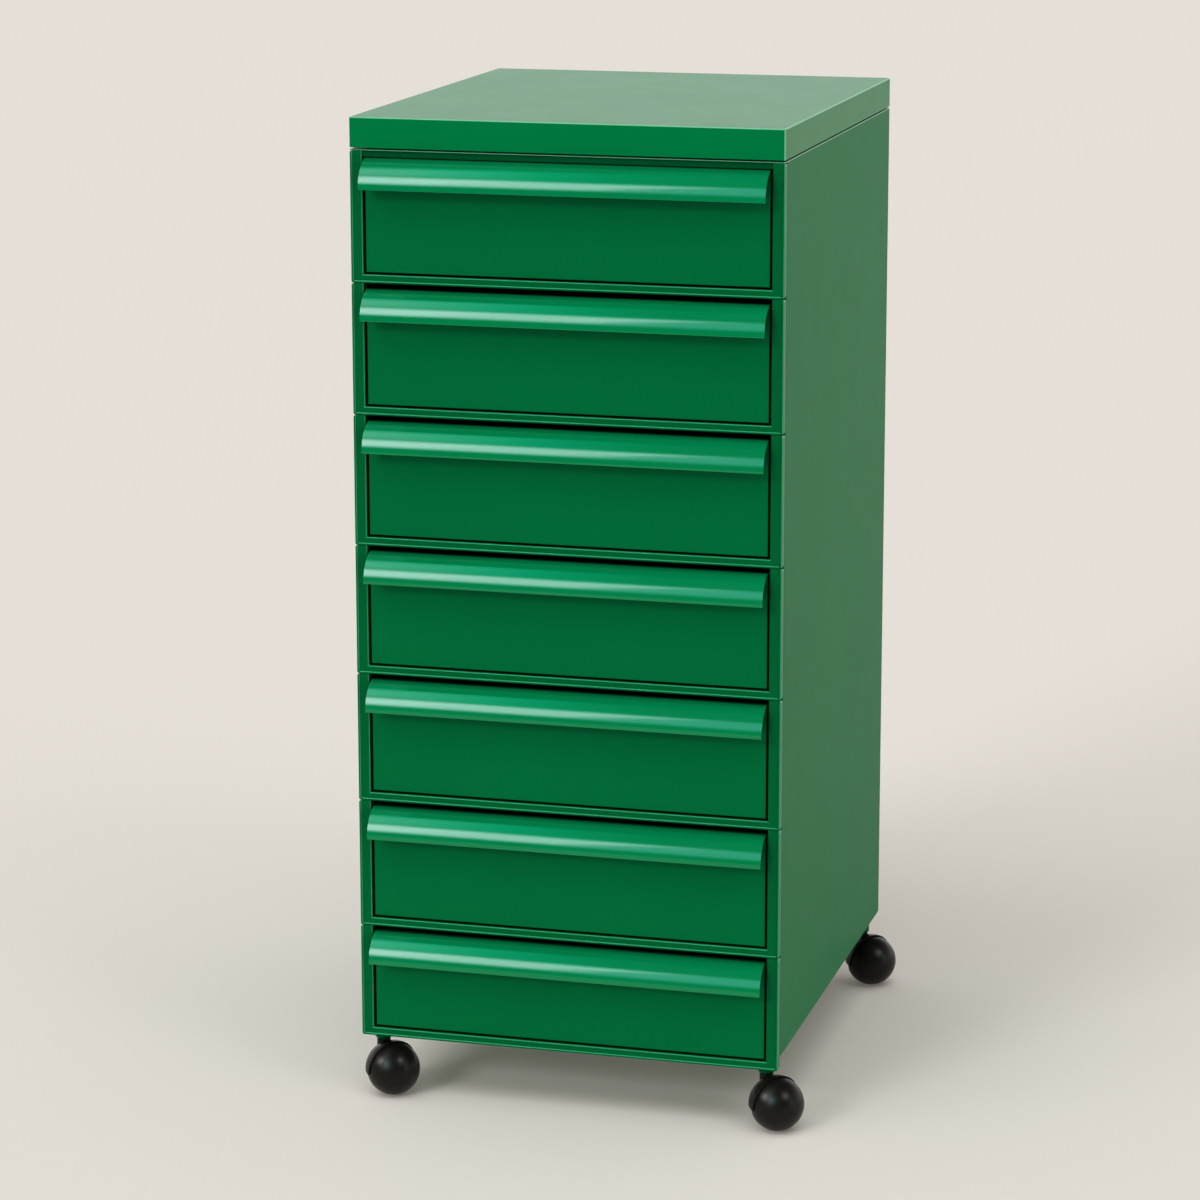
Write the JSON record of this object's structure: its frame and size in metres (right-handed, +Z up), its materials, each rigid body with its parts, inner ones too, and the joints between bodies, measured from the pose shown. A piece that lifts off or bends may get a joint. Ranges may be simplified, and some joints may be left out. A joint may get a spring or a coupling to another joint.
{
  "type": "rolling file cabinet",
  "caption": "Tall green steel drawer cabinet with a flat top, rimmed bay frames, curved full-width lip handles and swivelling ball casters.",
  "frame": {"origin": "on the floor, under the middle of the whole object", "axes": "+X to the cabinet's right as seen from the front, +Y to the back, +Z up; drawers open along -Y"},
  "size_m": [0.467, 0.5128, 0.9675],
  "materials": {
    "green_paint": "satin to gloss stove enamel",
    "black_caster": "satin black, smooth",
    "steel": "bright turned steel",
    "galvanised": "galvanised sheet",
    "nylon": "black nylon, dull"
  },
  "bodies": {
    "cabinet": {"top_cover": "green_paint", "carcass_top": "green_paint", "side_panel_left": "green_paint", "side_panel_right": "green_paint", "back_panel": "green_paint", "base_pan": "green_paint", "caster_sockets": "green_paint", "runners": "galvanised", "front_glides": "nylon", "cover_spacers": "nylon", "cover_screws": "steel", "panel_screws": "steel", "bay_frame_1": "green_paint", "bay_frame_2": "green_paint", "bay_frame_3": "green_paint", "bay_frame_4": "green_paint", "bay_frame_5": "green_paint", "bay_frame_6": "green_paint", "bay_frame_7": "green_paint"},
    "drawer_1": {"drawer_1_tray": "green_paint", "drawer_1_front": "green_paint", "drawer_1_handle": "green_paint", "drawer_1_glides": "nylon"},
    "drawer_2": {"drawer_2_tray": "green_paint", "drawer_2_front": "green_paint", "drawer_2_handle": "green_paint", "drawer_2_glides": "nylon"},
    "drawer_3": {"drawer_3_tray": "green_paint", "drawer_3_front": "green_paint", "drawer_3_handle": "green_paint", "drawer_3_glides": "nylon"},
    "drawer_4": {"drawer_4_tray": "green_paint", "drawer_4_front": "green_paint", "drawer_4_handle": "green_paint", "drawer_4_glides": "nylon"},
    "drawer_5": {"drawer_5_tray": "green_paint", "drawer_5_front": "green_paint", "drawer_5_handle": "green_paint", "drawer_5_glides": "nylon"},
    "drawer_6": {"drawer_6_tray": "green_paint", "drawer_6_front": "green_paint", "drawer_6_handle": "green_paint", "drawer_6_glides": "nylon"},
    "drawer_7": {"drawer_7_tray": "green_paint", "drawer_7_front": "green_paint", "drawer_7_handle": "green_paint", "drawer_7_glides": "nylon"},
    "caster_front_left_swivel": {"caster_front_left_hood": "black_caster", "caster_front_left_pins": "steel"},
    "caster_front_left_wheel": {"caster_front_left_wheel": "black_caster"},
    "caster_front_right_swivel": {"caster_front_right_hood": "black_caster", "caster_front_right_pins": "steel"},
    "caster_front_right_wheel": {"caster_front_right_wheel": "black_caster"},
    "caster_back_left_swivel": {"caster_back_left_hood": "black_caster", "caster_back_left_pins": "steel"},
    "caster_back_left_wheel": {"caster_back_left_wheel": "black_caster"},
    "caster_back_right_swivel": {"caster_back_right_hood": "black_caster", "caster_back_right_pins": "steel"},
    "caster_back_right_wheel": {"caster_back_right_wheel": "black_caster"}
  },
  "joints": [
    {"name": "drawer_1_slide", "type": "slide", "parent": "cabinet", "child": "drawer_1", "axis": [0, -1, 0], "range_m": [0, 0.37]},
    {"name": "drawer_2_slide", "type": "slide", "parent": "cabinet", "child": "drawer_2", "axis": [0, -1, 0], "range_m": [0, 0.37]},
    {"name": "drawer_3_slide", "type": "slide", "parent": "cabinet", "child": "drawer_3", "axis": [0, -1, 0], "range_m": [0, 0.37]},
    {"name": "drawer_4_slide", "type": "slide", "parent": "cabinet", "child": "drawer_4", "axis": [0, -1, 0], "range_m": [0, 0.37]},
    {"name": "drawer_5_slide", "type": "slide", "parent": "cabinet", "child": "drawer_5", "axis": [0, -1, 0], "range_m": [0, 0.37]},
    {"name": "drawer_6_slide", "type": "slide", "parent": "cabinet", "child": "drawer_6", "axis": [0, -1, 0], "range_m": [0, 0.37]},
    {"name": "drawer_7_slide", "type": "slide", "parent": "cabinet", "child": "drawer_7", "axis": [0, -1, 0], "range_m": [0, 0.37]},
    {"name": "caster_front_left_swivel", "type": "hinge", "parent": "cabinet", "child": "caster_front_left_swivel", "pos_m": [-0.1943, -0.21685, 0.02625], "axis": [0, 0, 1], "continuous": true},
    {"name": "caster_front_left_wheel", "type": "hinge", "parent": "caster_front_left_swivel", "child": "caster_front_left_wheel", "pos_m": [-0.1813, -0.227, 0.02625], "axis": [0.776, -0.6063, -0.1736], "continuous": true},
    {"name": "caster_front_right_swivel", "type": "hinge", "parent": "cabinet", "child": "caster_front_right_swivel", "pos_m": [0.1943, -0.21685, 0.02625], "axis": [0, 0, 1], "continuous": true},
    {"name": "caster_front_right_wheel", "type": "hinge", "parent": "caster_front_right_swivel", "child": "caster_front_right_wheel", "pos_m": [0.2073, -0.227, 0.02625], "axis": [0.776, -0.6063, -0.1736], "continuous": true},
    {"name": "caster_back_left_swivel", "type": "hinge", "parent": "cabinet", "child": "caster_back_left_swivel", "pos_m": [-0.1943, 0.23885, 0.02625], "axis": [0, 0, 1], "continuous": true},
    {"name": "caster_back_left_wheel", "type": "hinge", "parent": "caster_back_left_swivel", "child": "caster_back_left_wheel", "pos_m": [-0.2073, 0.2287, 0.02625], "axis": [-0.776, -0.6063, -0.1736], "continuous": true},
    {"name": "caster_back_right_swivel", "type": "hinge", "parent": "cabinet", "child": "caster_back_right_swivel", "pos_m": [0.1943, 0.23885, 0.02625], "axis": [0, 0, 1], "continuous": true},
    {"name": "caster_back_right_wheel", "type": "hinge", "parent": "caster_back_right_swivel", "child": "caster_back_right_wheel", "pos_m": [0.2073, 0.2287, 0.02625], "axis": [0.776, -0.6063, -0.1736], "continuous": true}
  ]
}
